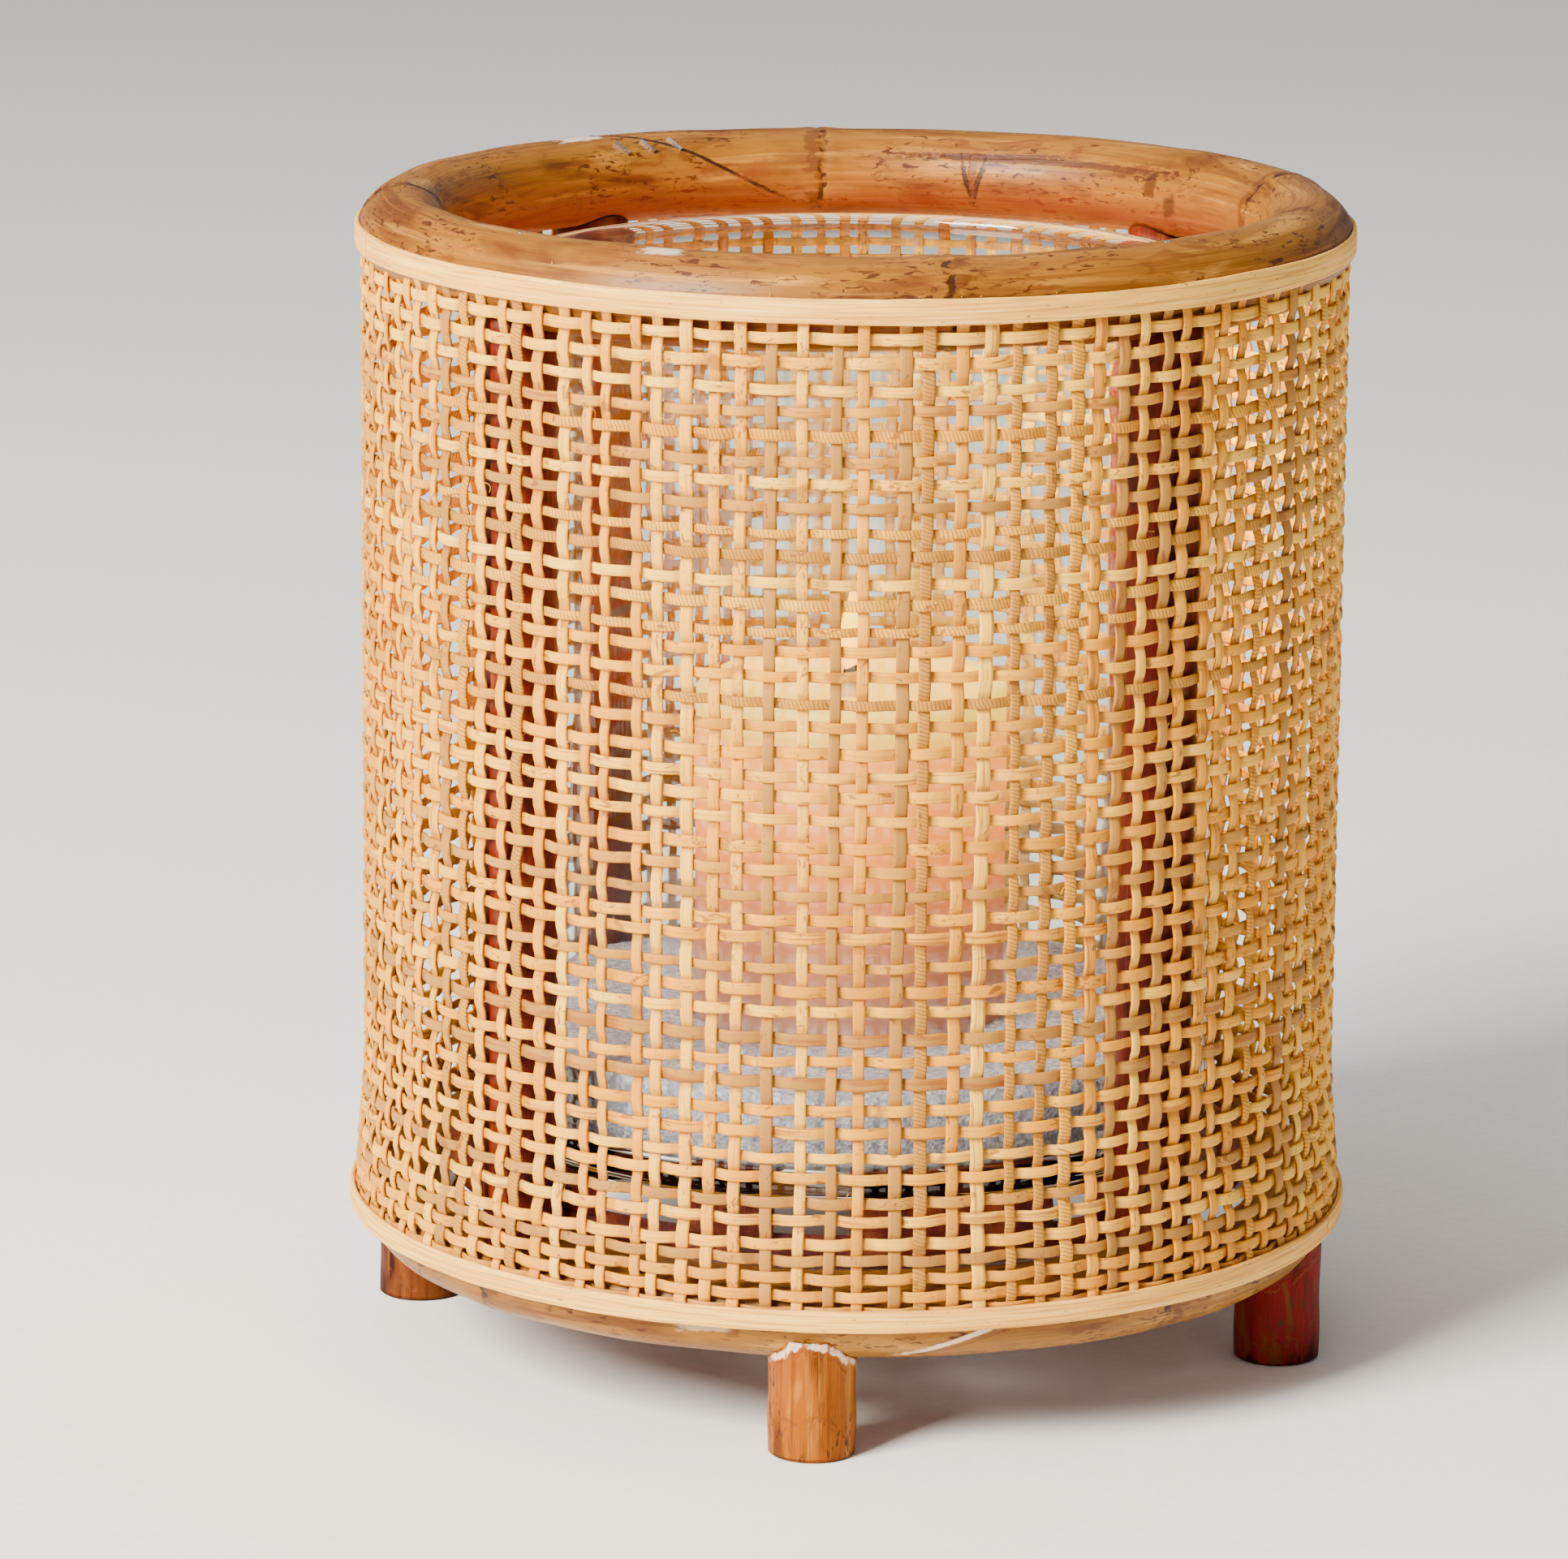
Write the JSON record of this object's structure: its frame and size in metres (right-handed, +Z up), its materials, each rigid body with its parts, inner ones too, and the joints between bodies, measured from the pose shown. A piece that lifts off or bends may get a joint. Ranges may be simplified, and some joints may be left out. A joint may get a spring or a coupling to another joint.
{
  "type": "rattan candle lantern",
  "caption": "Round lantern of bent rattan poles and plain-woven open cane on stub feet, holding a lift-out glass cylinder with a sand bed and a pillar candle.",
  "frame": {"origin": "on the ground under the middle of the lantern's bounding box", "axes": "+Z up along the lantern's axis; -Y towards the front foot, +X to the right as seen from the front"},
  "size_m": [0.2444, 0.2444, 0.283],
  "materials": {
    "varnished_rattan": "satin varnish over rattan skin",
    "split_cane_binding": "bare split cane, fine lengthwise grain",
    "woven_cane": "bare woven cane, matt to satin",
    "dark_rattan": "stained rattan, satin",
    "rattan_foot": "stained rattan, satin, pale cut ends",
    "steel_fastenings": "plain wire",
    "clear_glass": "polished, faint green in the thick base",
    "pale_sand": "loose fine grains, matt",
    "candle_wax": "smooth wax",
    "charred_wick": "burnt cotton"
  },
  "bodies": {
    "frame": {"top_hoop": "varnished_rattan", "top_hoop_staples": "steel_fastenings", "top_binding": "split_cane_binding", "top_binding_pins": "steel_fastenings", "woven_wall": "woven_cane", "bottom_hoop": "varnished_rattan", "bottom_hoop_staples": "steel_fastenings", "bottom_binding": "split_cane_binding", "bottom_binding_pins": "steel_fastenings", "post_front_right": "dark_rattan", "post_back_right": "dark_rattan", "post_back_left": "dark_rattan", "post_front_left": "dark_rattan", "post_nails": "steel_fastenings", "foot_front": "rattan_foot", "foot_right": "rattan_foot", "foot_back": "rattan_foot", "foot_left": "rattan_foot", "foot_nails": "steel_fastenings", "base_ring": "dark_rattan", "base_ring_brads": "steel_fastenings", "slat_1": "dark_rattan", "slat_2": "dark_rattan", "slat_3": "dark_rattan", "slat_4": "dark_rattan", "slat_5": "dark_rattan", "slat_brads": "steel_fastenings"},
    "glass": {"glass_cylinder": "clear_glass", "sand_bed": "pale_sand"},
    "candle": {"candle": "candle_wax", "wick": "charred_wick"}
  },
  "joints": [
    {"name": "glass_lift", "type": "slide", "parent": "frame", "child": "glass", "axis": [0, 0, 1], "range_m": [0, 0.24]},
    {"name": "candle_lift", "type": "slide", "parent": "glass", "child": "candle", "axis": [0, 0, 1], "range_m": [0, 0.21]}
  ]
}
